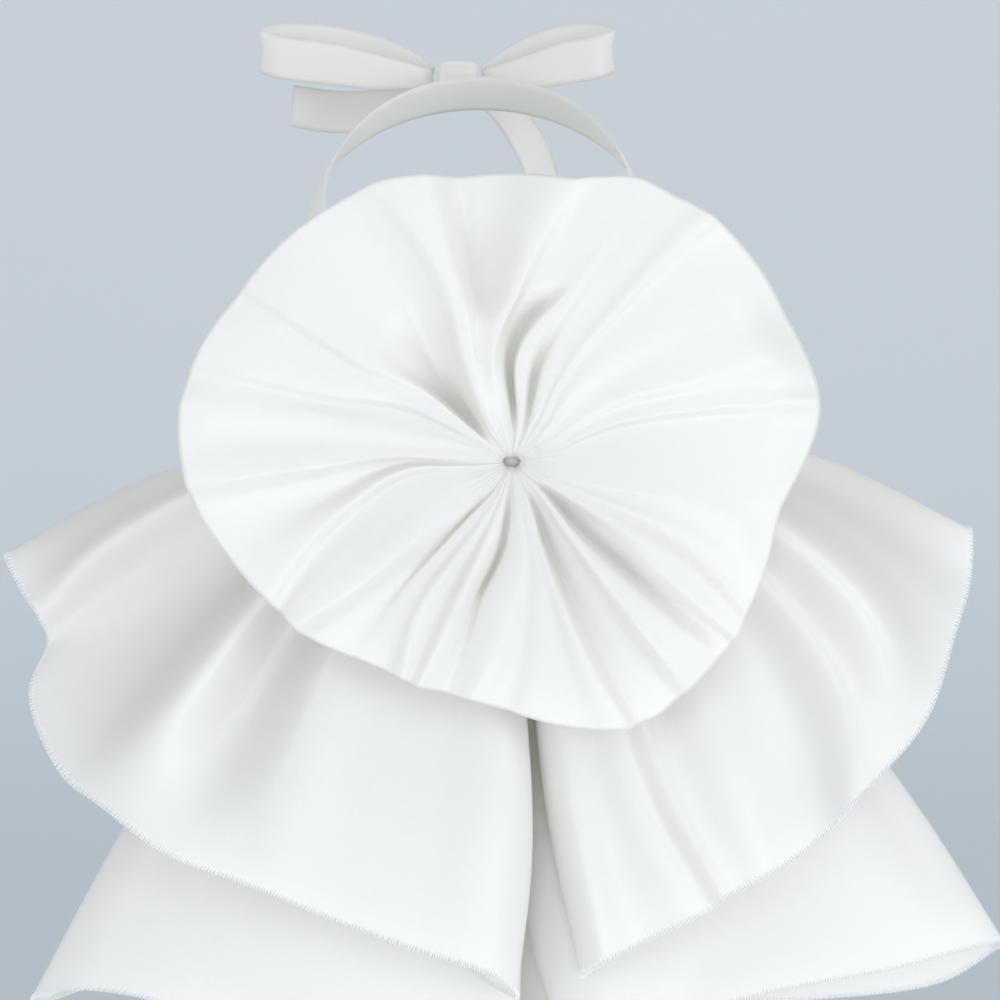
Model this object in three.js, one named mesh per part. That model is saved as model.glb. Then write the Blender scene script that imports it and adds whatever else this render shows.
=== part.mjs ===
import * as THREE from 'three';

// Detachable satin collar. Millimetres, +Z up, +X to the viewer's right, +Y to the wearer's back.
// The origin is the middle of the neck strap's loop, where the neck goes through.

// Cloth
const CLOTH_WALL = 1.2;
const DOUBLED_CLOTH = 2.4;
const SATIN = new THREE.MeshStandardMaterial({
  name: 'white_satin', color: 0xf4f6f9, roughness: 0.55, metalness: 0,
});
const SATIN_RIBBON = new THREE.MeshStandardMaterial({
  name: 'satin_ribbon', color: 0xf1f3f6, roughness: 0.42, metalness: 0,
});

// Neck strap: a tilted loop, low in front and high at the nape
const STRAP_CENTRE_X = -3.5;
const STRAP_HALF_WIDTH = 61.5;
const STRAP_HALF_DEPTH = 61;
const STRAP_RISE = 32;
const STRAP_WIDTH = 18;
const STRAP_THICK = 1.6;
const STRAP_LEAN = 30;
const STRAP_STEPS = 48;

// Flower
const FLOWER_CENTRE = new THREE.Vector3(8.7, -103, -62.3);
const FLOWER_LEAN = 15;
const FLOWER_WIDE_GAP = 7.5;
const FLOWER_STEEPEST = 2.2;

// Flounces: where their gathered heads are sewn, front of the strap
const HEAD_Z = -37;
// and how far the outer folds sink back toward the shoulder on their way down.
const UPPER_HEAD = { front: -77.1, back: -73, sink: -10 };
const LOWER_HEAD = { front: -71.2, back: -67.3, sink: 18 };
const LEFT_HEAD = { outer: -36, inner: 1 };
const RIGHT_HEAD = { outer: 38, inner: 9 };
const HEAD_ROUNDING = 0.3;
const INNER_SINK = 0.2;
const FOLD_LINE_MID = 0.65;
const FLOUNCE_STATIONS = [0, 0.12, 0.25, 0.38, 0.5, 0.62, 0.74, 0.87, 1];

// Gathered plug behind the flower's eye: depth behind the flower's plane, radius
const STEM_RINGS = [[5.6, 3.2], [8.5, 5], [13.8, 7], [14.4, 9.5], [17.2, 10.5], [18.4, 8]];
const STEM_FLUTE = 1.2;

// Bow at the nape
const RIBBON_WIDTH = 17;
const RIBBON_THICK = 1.2;
const BOW_LEAN = 20;
const BOW_KNOT = new THREE.Vector3(-12, 69.5, 35);
const KNOT_HALF_DEPTH = 6.5;
const KNOT_HALF_HEIGHT = 8.5;
const KNOT_RINGS = [[-8, 0.55], [-6.5, 0.85], [-3, 1], [3, 1], [6.5, 0.85], [8, 0.55]];

// Ribbon runs of the bow: x, y, z, share of the full width
const LEFT_LOOP = [
  [-22, 71, 36, 0.45], [-40, 80, 42, 0.8], [-64, 83, 46, 1], [-82, 80, 47, 1],
  [-88, 74, 46, 1], [-82, 68, 45, 1], [-62, 65, 43, 1], [-40, 65, 39, 0.8],
];
const RIGHT_LOOP = [
  [-2, 71, 36, 0.45], [14, 80, 42, 0.8], [30, 83, 46, 1], [43, 80, 47, 1],
  [48, 74, 46, 1], [43, 68, 45, 1], [30, 66, 43, 1], [14, 66, 39, 0.8],
];
const LEFT_TAIL = [
  [-21, 76, 28, 0.5], [-38, 81, 22, 0.85], [-58, 80, 20, 1], [-77, 73, 24, 1],
];
const RIGHT_TAIL = [
  [-3, 76, 28, 0.5], [8, 82, 18, 0.85], [18, 84, 2, 1], [24, 82, -18, 1],
];

const DEG = Math.PI / 180;

// Fold lines of the flounces, one row per fold from the outer folded side to the inner one.
// mid: the fold line 0.65 of its way down; hem: its lower end. behind: how far the back layer
// lies behind this fold, 0 where it has none; drop: how much lower the back layer's hem hangs.
const FOLD_COLUMNS = ['midX', 'midY', 'midZ', 'hemX', 'hemY', 'hemZ', 'behind', 'drop'];
const UPPER_LEFT_FOLDS = [
  [-139, -27, -100, -183, -33, -124, 7, 0],
  [-136, -46, -101, -176, -45, -133, 0, 0],
  [-135, -60, -105, -169, -54, -140, 10, -3],
  [-128, -55, -120, -166, -50, -152, 0, 0],
  [-122, -58, -131, -172, -62, -168, 14, -3],
  [-113, -66, -140, -158, -80, -188, 0, 0],
  [-96, -106, -133, -144, -100, -193, 18, -3],
  [-85, -97, -153, -117, -117, -205, 0, 0],
  [-65, -117, -153, -86, -128, -215, 9, -3],
  [-42, -121, -161, -57, -134, -226, 0, 0],
  [-17, -124, -166, -28, -138, -236, 8, -3],
  [5, -128, -170, 3, -141, -246, 0, 0],
  [16, -121, -181, 11, -134, -258, 6, 0],
];
const UPPER_RIGHT_FOLDS = [
  [132, -25, -90, 183, -30, -115, 7, 0],
  [130, -42, -96, 182, -40, -131, 0, 0],
  [130, -64, -102, 175, -58, -145, 10, -3],
  [129, -88, -113, 162, -82, -171, 0, 0],
  [120, -84, -138, 137, -92, -198, 14, -3],
  [101, -108, -139, 123, -116, -201, 0, 0],
  [81, -119, -152, 104, -128, -210, 12, -3],
  [60, -116, -164, 87, -127, -221, 0, 0],
  [49, -124, -162, 79, -137, -222, 13, -3],
  [37, -122, -165, 55, -135, -236, 0, 0],
  [27, -122, -169, 42, -138, -242, 11, -3],
  [19, -113, -175, 34, -128, -253, 6, 0],
];
const LOWER_LEFT_FOLDS = [
  [-134, -84, -209, -173, -90, -282, 7, 0],
  [-125, -93, -207, -160, -100, -273, 0, 0],
  [-110, -100, -207, -144, -108, -269, 10, -3],
  [-93, -107, -209, -121, -116, -270, 0, 0],
  [-72, -113, -209, -88, -123, -283, 10, -3],
  [-50, -117, -211, -51, -129, -299, 0, 0],
  [-21, -119, -214, -18, -132, -314, 10, -3],
  [4, -119, -216, 4, -133, -325, 0, 0],
  [12, -115, -217, 9, -129, -331, 7, 0],
];
// The last four rows are a pleat at the inner side, one fold behind the other.
const LOWER_RIGHT_FOLDS = [
  [153, -66, -199, 196, -80, -263, 7, 3],
  [143, -77, -201, 177, -92, -261, 10, 12],
  [131, -88, -204, 154, -101, -263, 0, 0],
  [111, -100, -209, 116, -112, -265, 10, 9],
  [91, -109, -211, 93, -119, -267, 0, 0],
  [70, -115, -214, 74, -126, -271, 10, -3],
  [52, -116, -218, 62, -129, -284, 0, 0],
  [31, -115, -218, 53, -132, -305, 0, 0],
  [12, -107, -219, 40, -125, -314, 0, 0],
  [12, -96, -222, 42, -114, -318, 0, 0],
  [3, -88, -226, 18, -103, -324, 9, 0],
];

// Folds of the flower, one row per crest, lip or groove, going round from the right. angles, in
// degrees, are given at four shares of the way from the eye to the rim, heights over the dish at
// six of them; reach is how far the folded rim lies from the eye there.
const ANGLE_SHARES = [0.1, 0.3, 0.6, 1];
const HEIGHT_SHARES = [0.1, 0.28, 0.48, 0.62, 0.82, 1];
const FLOWER_COLUMNS = ['angles', 'heights', 'reach'];
const FLOWER_FOLDS = [
  [[-5, -5, -7, -8], [1, 2.5, 4, 4, 3.5, 0], 97], // middle of the right petal
  [[15, 21.5, 16.5, 10.5], [1, 1, 0.5, 0.5, 0, -3.5], 111], // floor under the right lip
  [[16, 22.5, 18, 12], [1, 3.5, 5, 5, 4, -1.5], 111], // right lip
  [[22, 27, 21, 14], [1, 3.5, 4.5, 4.5, 3.5, -3], 112],
  [[29, 33, 26, 22], [1.5, 4, 5.5, 6, 6, -4], 111], // crest that ends in the curled rim
  [[36, 41, 36, 28], [1, 4, 5, 5, 5, -3.5], 110],
  [[42, 51, 43, 36], [1.5, 4.5, 5.5, 5.5, 5, -1], 111], // soft crest
  [[53, 60, 56, 51.5], [1.5, 4.5, 5.5, 6, 6.5, 5.5], 112], // thin crest at the upper right
  [[62, 68.5, 64.5, 59], [1, 3.5, 4, 4.5, 5, 4], 110],
  [[69, 75, 67.5, 60], [0.5, -4.5, 3.5, 4.5, 4, 3.5], 110], // short groove near the eye
  [[81, 88, 70, 61.5], [1, 4, 4.5, 4.5, 4, 3], 110], // lip over the deep wedge
  [[86, 89.5, 71.5, 63], [0, -5.5, -5.5, -0.5, 1, 1.5], 109], // deep wedge above the eye
  [[92, 95, 81, 69], [1, 4, 1, 2.5, 3.5, 3], 106],
  [[100, 102, 88, 78], [1.5, 5, 6.5, 6.5, 6, 5], 102], // broad crest
  [[110, 108.5, 99, 98], [1.5, 5, 5.5, -1, -5.5, -5], 102], // wide valley at the top
  [[118, 111.5, 107, 106.5], [1.5, 5, 7, 6, 5, 4], 106],
  [[124, 116, 110, 115], [1.5, 5, 6.5, 6.5, 6, 5], 110], // band crest beside the valley
  [[129, 122, 114.5, 119], [0.5, 1, 2.5, 3.5, 3.5, 3], 110],
  [[134, 131, 124, 121.5], [0.5, -5.5, -2.5, 1, 2, 2], 110], // pocket left of the eye
  [[137, 136, 136, 134], [0.5, -5.5, 2.5, 4, 4.5, 4], 112], // large smooth panel
  [[140, 139.5, 145.5, 145.5], [1, 4.5, 6, 6.5, 6.5, 5], 113], // crest at the upper left
  [[146, 148, 152, 153], [1.5, 4, 5, 5.5, 5.5, 4], 115],
  [[148, 149.5, 158.5, 161], [1, 3.5, 4.5, 5, 5, 3.5], 118], // left lip
  [[149, 151, 159.5, 162.5], [1, 2, 1, 0.5, 0.5, 0], 118],
  [[157, 163.5, 166, 170], [1.5, 4, 5, 5, 4.5, 4], 119],
  [[164, 171, 173.5, 176], [1, 3.5, 4, 4, 3.5, 3], 118], // middle of the left petal
  [[172, 173.5, 179, 183.5], [1.5, 4, 5, 5.5, 6, 5], 115],
  [[175, 175, 180.5, 184.5], [1, 3.5, 5, 5, 5, 4], 114], // lip of the left petal
  [[176.5, 176.5, 182, 186], [1, 1.5, 0.5, 0.5, 0.5, 0], 114],
  [[180, 178, 189, 196], [1, 2, 1.5, 1.5, 2, 2], 107],
  [[184, 180, 194, 209.5], [1.5, 3.5, 5, 5, 5, 4], 99], // curved crest
  [[192, 187, 198.5, 212], [1, 2.5, 2.5, 2.5, 2.5, 2.5], 98], // curved groove
  [[204, 203, 207, 214.5], [1, 3.5, 4, 4.5, 4.5, 4], 97],
  [[217, 216, 218, 216.5], [1, 3.5, 6.5, 7, 6.5, 5], 97], // broad crest at the lower left
  [[226, 224, 224, 221], [1, 3, 3, 3, 3, 2.5], 95],
  [[234, 229.5, 228.5, 230], [0.5, -3, -2.5, 2, 2, 2], 90], // slit at the lower left
  [[244, 237, 233.5, 239], [1, 3, 3, 3.5, 3, 2.5], 86],
  [[251.5, 247, 243.5, 245], [1, 3, 3.5, 3.5, 3.5, 3], 86],
  [[255, 251, 249, 247], [1.5, 4, 6, 6.5, 6, 5], 86], // bright crest
  [[259, 259, 253.5, 250.5], [1, 3, 2.5, 3.5, 4, 3.5], 85],
  [[266, 264.5, 255.5, 254], [0.5, -4.5, -4.5, 0.5, 1, 1.5], 85], // slit below the eye
  [[278, 278, 269, 260], [1.5, 4, 5.5, 6, 6, 5], 85], // crest below the eye
  [[283, 281.5, 275.5, 268], [1, 3.5, 4, 4, 4, 4], 87],
  [[287, 284.5, 280, 273.5], [1.5, 4, 5, 5, 5, 5], 90],
  [[291, 287, 284.5, 284], [1.5, 4, 5, 4.5, 4.5, 4], 97],
  [[295, 289.5, 290, 293.5], [1.5, 4.5, 6, 6, 6, 5.5], 103], // crest at the lower right
  [[299, 291.5, 292, 295], [0, -3, -2.5, -2, 0.5, 1.5], 103],
  [[304, 299, 297, 297.5], [0.5, 2, 2.5, 2.5, 2.5, 2.5], 104],
  [[313, 308.5, 308, 308], [1, 2.5, 2.5, 2, 2, 1.5], 102],
  [[314, 309.5, 309, 309.5], [1.5, 4, 6, 6.5, 7, 4.5], 102], // crest with a bright panel
  [[318, 312.5, 314.5, 316.5], [1, 4, 4.5, 4.5, 5.5, 2], 101],
  [[322, 315.5, 317, 320.5], [0, -5.5, -5.5, -1, 1, 1], 101], // deep wedge, lower right
  [[326, 323.5, 324, 322.5], [0.5, -0.5, 2, 3, 3, 2.5], 101],
  [[329.5, 329, 330, 324.5], [0.5, 2, 3, 3, 3, 2.5], 100],
  [[333, 337, 335.5, 328], [0, 1, 1, 0.5, 0, 0.5], 99], // soft valley
  [[339, 341.5, 344, 338], [0, 2, 3, 3, 2.5, 2], 97],
  [[345, 346.5, 349, 346.5], [0.5, 2.5, 4, 4, 4, 1.5], 96],
];

// Rings of the flower from its gathered eye to its rim: share of the reach, height of the
// dish along the flower's axis, and how much of the folds' height shows there.
const RING_COLUMNS = ['share', 'dish', 'pleat'];
const FLOWER_RINGS = [
  [0.028, -3, 0.3],
  [0.06, -0.5, 0.6],
  [0.11, 0.8, 1],
  [0.2, 1.5, 1],
  [0.32, 2.1, 1],
  [0.45, 2.4, 1],
  [0.6, 2.5, 1],
  [0.75, 2.2, 1],
  [0.89, 1.5, 1],
  [1, 0, 1],
];

function rowsOf(columns, table) {
  return table.map((row) => Object.fromEntries(columns.map((name, i) => [name, row[i]])));
}

function blend(a, b, t) {
  return a + (b - a) * t;
}

// One closed body from outer and inner grids of points, both closed around and open at the ends
function clothBody(name, outer, inner, material) {
  const rows = outer.length;
  const around = outer[0].length;
  const points = [...outer.flat(), ...inner.flat()];
  const offset = rows * around;
  const faces = [];
  const quad = (a, b, c, d) => faces.push([a, b, c], [a, c, d]);
  for (let j = 0; j < around; j += 1) {
    const k = (j + 1) % around;
    for (let i = 0; i < rows - 1; i += 1) {
      const here = i * around;
      const next = here + around;
      quad(here + j, here + k, next + k, next + j);
      quad(offset + here + j, offset + next + j, offset + next + k, offset + here + k);
    }
    const last = (rows - 1) * around;
    quad(j, offset + j, offset + k, k);
    quad(last + j, last + k, offset + last + k, offset + last + j);
  }
  return solid(name, points, faces, material);
}

// A faceted mesh with its faces turned outward
function solid(name, points, faces, material) {
  let volume = 0;
  const cross = new THREE.Vector3();
  faces.forEach(([a, b, c]) => {
    volume += points[a].dot(cross.crossVectors(points[b], points[c]));
  });
  const order = volume > 0 ? faces : faces.map(([a, b, c]) => [a, c, b]);
  const geometry = new THREE.BufferGeometry();
  geometry.setAttribute('position', new THREE.Float32BufferAttribute(
    points.flatMap((point) => point.toArray()), 3,
  ));
  geometry.setIndex(order.flat());
  geometry.computeVertexNormals();
  const mesh = new THREE.Mesh(geometry, material);
  mesh.name = name;
  return mesh;
}

// A bar with one cross-section swept along a list of frames, closed on itself or capped
function sweptBody(name, frames, section, closed, material) {
  const side = section.length;
  const points = frames.flatMap(({ at, across, out }, i) => section.map(([u, v]) => at.clone()
    .addScaledVector(across, u * (frames[i].widen ?? 1)).addScaledVector(out, v)));
  const faces = [];
  const spans = closed ? frames.length : frames.length - 1;
  for (let i = 0; i < spans; i += 1) {
    const here = i * side;
    const next = ((i + 1) % frames.length) * side;
    for (let j = 0; j < side; j += 1) {
      const k = (j + 1) % side;
      faces.push([here + j, here + k, next + k], [here + j, next + k, next + j]);
    }
  }
  if (!closed) {
    const last = (frames.length - 1) * side;
    for (let j = 1; j < side - 1; j += 1) {
      faces.push([0, j + 1, j], [last, last + j, last + j + 1]);
    }
  }
  return solid(name, points, faces, material);
}

function stripSection(width, thick) {
  const half = width / 2;
  const edge = half - thick * 0.4;
  const t = thick / 2;
  return [[-half, 0], [-edge, -t], [edge, -t], [half, 0], [edge, t], [-edge, t]];
}

function neckStrap() {
  const lean = STRAP_LEAN * DEG;
  const frames = Array.from({ length: STRAP_STEPS }, (_, i) => {
    const turn = (i / STRAP_STEPS) * 2 * Math.PI;
    const away = new THREE.Vector3(Math.cos(turn), Math.sin(turn), 0);
    const at = new THREE.Vector3(
      STRAP_CENTRE_X + STRAP_HALF_WIDTH * away.x,
      STRAP_HALF_DEPTH * away.y,
      STRAP_RISE * away.y,
    );
    const up = new THREE.Vector3(0, 0, 1);
    return {
      at,
      across: away.clone().multiplyScalar(-Math.sin(lean)).addScaledVector(up, Math.cos(lean)),
      out: away.clone().multiplyScalar(Math.cos(lean)).addScaledVector(up, Math.sin(lean)),
    };
  });
  return sweptBody('neck_strap', frames, stripSection(STRAP_WIDTH, STRAP_THICK), true, SATIN);
}

// Even-spaced and pinched runs of points both give a smooth line through a closed row of points
function roundTheLoop(points, perSpan) {
  const curve = new THREE.CatmullRomCurve3(points, true, 'centripetal');
  const count = points.length;
  return Array.from({ length: count * perSpan }, (_, i) => curve.getPoint(i / (count * perSpan)));
}

// A fold line from its gathered head through its mid place to the hem
function alongFold({ head, mid, hem, sink }, share) {
  const start = new THREE.Vector3(mid.x - head.x, 0, mid.z - head.z);
  const slope = hem.clone().sub(head).multiplyScalar(0.5);
  const end = hem.clone().sub(mid);
  const upper = share < FOLD_LINE_MID;
  const t = upper ? share / FOLD_LINE_MID : (share - FOLD_LINE_MID) / (1 - FOLD_LINE_MID);
  const from = upper ? head : mid;
  const to = upper ? mid : hem;
  const leave = upper ? start : slope;
  const arrive = upper ? slope : end;
  const t2 = t * t;
  const t3 = t2 * t;
  return from.clone().multiplyScalar(2 * t3 - 3 * t2 + 1)
    .addScaledVector(leave, t3 - 2 * t2 + t)
    .addScaledVector(to, 3 * t2 - 2 * t3)
    .addScaledVector(arrive, t3 - t2)
    .add(new THREE.Vector3(0, upper ? sink * Math.sin(Math.PI * t ** 0.65) ** 2 : 0, 0));
}

// Fold lines of the front layer followed by those of the back layer, once round the flounce
function flounceLines(table, head, place) {
  const rows = rowsOf(FOLD_COLUMNS, table);
  const last = rows.length - 1;
  const middle = (head.front + head.back) / 2;
  const headAt = (i, y) => new THREE.Vector3(
    blend(place.outer, place.inner, i / last),
    i === 0 || i === last ? blend(y, middle, HEAD_ROUNDING) : y,
    HEAD_Z,
  );
  const front = rows.map((row, i) => ({
    head: headAt(i, head.front),
    mid: new THREE.Vector3(row.midX, row.midY, row.midZ),
    hem: new THREE.Vector3(row.hemX, row.hemY, row.hemZ),
    sink: head.sink * blend(1, INNER_SINK, i / last),
  }));
  const smooth = (i, key) => {
    if (i === 0 || i === last) {
      return front[i][key].clone();
    }
    return front[i][key].clone().multiplyScalar(2).add(front[i - 1][key])
      .add(front[i + 1][key]).multiplyScalar(0.25);
  };
  const side = Math.sign(place.inner - place.outer);
  // The way straight back from the front layer at one fold
  const straightBack = (i, upper, lower) => {
    const along = front[Math.min(i + 1, last)][lower].clone()
      .sub(front[Math.max(i - 1, 0)][lower]);
    const fall = front[i][lower].clone().sub(front[i][upper]);
    return along.cross(fall).multiplyScalar(side).normalize();
  };
  const down = new THREE.Vector3(0, 0, -1);
  const back = rows.map((row, i) => ({ row, i })).filter(({ row }) => row.behind > 0)
    .reverse()
    .map(({ row, i }) => ({
      head: headAt(i, head.back),
      mid: smooth(i, 'mid').addScaledVector(straightBack(i, 'head', 'mid'), row.behind),
      hem: smooth(i, 'hem').addScaledVector(straightBack(i, 'mid', 'hem'), row.behind)
        .addScaledVector(down, row.drop),
      sink: head.sink * blend(1, INNER_SINK, i / last),
    }));
  return [...front, ...back];
}

function flounce(name, table, head, place) {
  const lines = flounceLines(table, head, place);
  const outer = FLOUNCE_STATIONS.map((share) => roundTheLoop(
    lines.map((line) => alongFold(line, share)),
    2,
  ));
  const wall = CLOTH_WALL * Math.sign(place.inner - place.outer);
  return clothBody(name, outer, shrunk(outer, wall), SATIN);
}

// The inner face of a cloth wall, one thickness inside its outer face
function shrunk(grid, wall) {
  const around = grid[0].length;
  const last = grid.length - 1;
  return grid.map((ring, i) => {
    const lower = grid[Math.min(i + 1, last)];
    const upper = grid[Math.max(i - 1, 0)];
    return ring.map((point, j) => {
      const along = lower[j].clone().sub(upper[j]);
      const across = ring[(j + 1) % around].clone().sub(ring[(j + around - 1) % around]);
      const inward = new THREE.Vector3().crossVectors(across, along).normalize();
      return point.clone().addScaledVector(inward, wall);
    });
  });
}

// A value given at some shares of the way, read at another share along straight lines
function readAlong(shares, values, share) {
  const next = Math.max(1, shares.findIndex((place) => place >= share));
  const t = (share - shares[next - 1]) / (shares[next] - shares[next - 1]);
  return blend(values[next - 1], values[next], Math.max(0, t));
}

// One fold of the flower on one ring: its angle, height and reach
function foldOnRing(fold, ring) {
  return {
    angle: readAlong(ANGLE_SHARES, fold.angles, ring.share),
    height: ring.dish + ring.pleat * readAlong(HEIGHT_SHARES, fold.heights, ring.share),
    reach: fold.reach * ring.share,
  };
}

// The folds once round the ring, with a point halfway wherever two of them stand far apart
function flowerRing(ring) {
  const folds = rowsOf(FLOWER_COLUMNS, FLOWER_FOLDS);
  return folds.flatMap((fold, i) => {
    const wraps = i === folds.length - 1;
    const next = folds[wraps ? 0 : i + 1];
    const round = wraps ? 360 : 0;
    const here = foldOnRing(fold, ring);
    const there = foldOnRing(next, ring);
    const apart = Math.max(...next.angles.map((angle, k) => angle + round - fold.angles[k]));
    if (apart < FLOWER_WIDE_GAP) return [here];
    return [here, {
      angle: blend(here.angle, there.angle + round, 0.5),
      reach: blend(here.reach, there.reach, 0.5),
      height: blend(here.height, there.height, 0.5),
    }];
  });
}

// A place on the flower, in its own leaning plane, moved into the frame of the collar
function onFlower(angle, reach, height) {
  const lean = FLOWER_LEAN * DEG;
  const up = new THREE.Vector3(0, Math.sin(lean), Math.cos(lean));
  const out = new THREE.Vector3(0, -Math.cos(lean), Math.sin(lean));
  return FLOWER_CENTRE.clone()
    .addScaledVector(new THREE.Vector3(1, 0, 0), reach * Math.cos(angle * DEG))
    .addScaledVector(up, reach * Math.sin(angle * DEG))
    .addScaledVector(out, height);
}

// How much thicker the wall is along the flower's axis where a fold's side is steep
function steepness(rings, i, j) {
  const ring = rings[i];
  const before = ring[(j + ring.length - 1) % ring.length];
  const after = ring[(j + 1) % ring.length];
  const turn = ((after.angle - before.angle + 720) % 360) * DEG;
  const rise = Math.abs(after.height - before.height);
  const run = turn * ring[j].reach;
  return Math.min(Math.hypot(1, rise / run), FLOWER_STEEPEST);
}

function flower() {
  const rings = rowsOf(RING_COLUMNS, FLOWER_RINGS).map(flowerRing);
  const front = rings.map((ring) => ring.map((p) => onFlower(p.angle, p.reach, p.height)));
  const back = rings.map((ring, i) => ring.map((p, j) => {
    const wall = DOUBLED_CLOTH * steepness(rings, i, j);
    return onFlower(p.angle, p.reach, p.height - wall);
  }));
  return clothBody('flower', front, back, SATIN);
}

// The gathered cloth behind the flower's eye: a short fluted plug
function flowerStem() {
  const around = 28;
  const rings = STEM_RINGS.map(([depth, radius]) => Array.from({ length: around }, (_, j) => {
    const flute = j % 2 ? STEM_FLUTE : 0;
    return onFlower((j / around) * 360, radius - flute, -depth);
  }));
  const points = [...rings.flat(), onFlower(0, 0, -STEM_RINGS[0][0])];
  points.push(onFlower(0, 0, -STEM_RINGS.at(-1)[0]));
  const faces = [];
  const last = (rings.length - 1) * around;
  const nearEnd = points.length - 2;
  for (let j = 0; j < around; j += 1) {
    const k = (j + 1) % around;
    for (let i = 0; i < rings.length - 1; i += 1) {
      const here = i * around;
      const next = here + around;
      faces.push([here + j, here + k, next + k], [here + j, next + k, next + j]);
    }
    faces.push([nearEnd, k, j], [nearEnd + 1, last + j, last + k]);
  }
  return solid('flower_stem', points, faces, SATIN);
}

// A ribbon laid along a curve: its width stays along the given direction
function ribbon(name, places, width, closed) {
  const curve = new THREE.CatmullRomCurve3(
    places.map((row) => new THREE.Vector3(row[0], row[1], row[2])),
    closed,
    'centripetal',
  );
  const steps = (closed ? places.length : places.length - 1) * 3;
  const count = closed ? steps : steps + 1;
  const frames = Array.from({ length: count }, (_, i) => {
    const share = i / steps;
    const slot = Math.min(share * (closed ? places.length : places.length - 1), places.length - 1);
    const from = places[Math.floor(slot)];
    const to = places[(Math.floor(slot) + 1) % places.length];
    const along = curve.getTangent(share);
    const across = new THREE.Vector3(0, Math.sin(BOW_LEAN * DEG), Math.cos(BOW_LEAN * DEG));
    const out = new THREE.Vector3().crossVectors(across, along).normalize();
    const square = new THREE.Vector3().crossVectors(out, along).normalize();
    return { at: curve.getPoint(share), across: square, out, widen: blend(from[3], to[3], slot % 1) };
  });
  return sweptBody(name, frames, stripSection(width, RIBBON_THICK), closed, SATIN_RIBBON);
}

// The knot: a small soft barrel round the crossing of the ribbon
function bowKnot() {
  const frames = KNOT_RINGS.map(([x, grow]) => ({
    at: new THREE.Vector3(BOW_KNOT.x + x, BOW_KNOT.y, BOW_KNOT.z),
    grow,
  }));
  const around = 16;
  const points = frames.flatMap(({ at, grow }) => Array.from({ length: around }, (_, j) => {
    const turn = (j / around) * 2 * Math.PI;
    return at.clone().add(new THREE.Vector3(
      0,
      KNOT_HALF_DEPTH * grow * Math.cos(turn),
      KNOT_HALF_HEIGHT * grow * Math.sin(turn),
    ));
  }));
  const faces = [];
  const last = (frames.length - 1) * around;
  for (let j = 0; j < around; j += 1) {
    const k = (j + 1) % around;
    for (let i = 0; i < frames.length - 1; i += 1) {
      const here = i * around;
      const next = here + around;
      faces.push([here + j, here + k, next + k], [here + j, next + k, next + j]);
    }
  }
  for (let j = 1; j < around - 1; j += 1) {
    faces.push([0, j + 1, j], [last, last + j, last + j + 1]);
  }
  return solid('bow_knot', points, faces, SATIN_RIBBON);
}

const collar = new THREE.Group();
collar.name = 'detachable_collar';
collar.add(neckStrap());
collar.add(flower());
collar.add(flowerStem());
collar.add(flounce('upper_left_flounce', UPPER_LEFT_FOLDS, UPPER_HEAD, LEFT_HEAD));
collar.add(flounce('upper_right_flounce', UPPER_RIGHT_FOLDS, UPPER_HEAD, RIGHT_HEAD));
collar.add(flounce('lower_left_flounce', LOWER_LEFT_FOLDS, LOWER_HEAD, LEFT_HEAD));
collar.add(flounce('lower_right_flounce', LOWER_RIGHT_FOLDS, LOWER_HEAD, RIGHT_HEAD));
collar.add(bowKnot());
collar.add(ribbon('bow_loop_left', LEFT_LOOP, RIBBON_WIDTH, true));
collar.add(ribbon('bow_loop_right', RIGHT_LOOP, RIBBON_WIDTH, true));
collar.add(ribbon('bow_tail_left', LEFT_TAIL, RIBBON_WIDTH, false));
collar.add(ribbon('bow_tail_right', RIGHT_TAIL, RIBBON_WIDTH, false));

export default collar;
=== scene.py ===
# %% [markdown]
# # A white satin collar with a gathered flower
#
# This notebook dresses a plain CAD model as real cloth. The collar has a flower of doubled satin at
# the throat, four flared flounces in two tiers below it, and a strap that ties in a bow at the nape.
# Every piece is built again here as thin cloth, from short tables of its folds, and then gets its
# weave, its overlocked hem and its light.

# %% The tools, and the CAD model as the frame
import math

import bpy
import numpy as np
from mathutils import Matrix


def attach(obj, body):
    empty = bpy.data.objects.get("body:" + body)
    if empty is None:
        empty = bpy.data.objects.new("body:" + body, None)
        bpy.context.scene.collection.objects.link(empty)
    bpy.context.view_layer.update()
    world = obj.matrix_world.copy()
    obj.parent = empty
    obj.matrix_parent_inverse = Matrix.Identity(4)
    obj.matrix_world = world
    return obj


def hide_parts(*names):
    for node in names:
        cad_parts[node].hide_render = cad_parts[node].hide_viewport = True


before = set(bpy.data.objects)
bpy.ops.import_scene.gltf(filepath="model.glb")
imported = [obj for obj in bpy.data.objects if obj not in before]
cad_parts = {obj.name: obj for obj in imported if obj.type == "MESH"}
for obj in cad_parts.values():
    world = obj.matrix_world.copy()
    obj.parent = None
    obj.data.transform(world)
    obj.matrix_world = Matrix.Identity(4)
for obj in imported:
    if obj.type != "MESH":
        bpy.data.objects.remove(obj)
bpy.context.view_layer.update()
MM = 0.001


# %% [markdown]
# ## Camera
#
# The photograph looks down on the collar by about 20 degrees from 1.3 m away, through a long lens
# that keeps the flounces in proportion.

# %% Camera
LENS_MM = 125
SENSOR_MM = 36
CAMERA_MM = (4.5, -1260, 344.8)
CAMERA_PITCH = 20

camera_data = bpy.data.cameras.new("camera")
camera_data.lens = LENS_MM
camera_data.sensor_width = SENSOR_MM
camera = bpy.data.objects.new("camera", camera_data)
camera.location = [c * MM for c in CAMERA_MM]
camera.rotation_euler = (math.radians(90 - CAMERA_PITCH), 0, 0)
bpy.context.collection.objects.link(camera)
bpy.context.scene.camera = camera
print("camera at", CAMERA_MM, "mm, lens", LENS_MM, "mm, looking down by", CAMERA_PITCH, "degrees")


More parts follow.
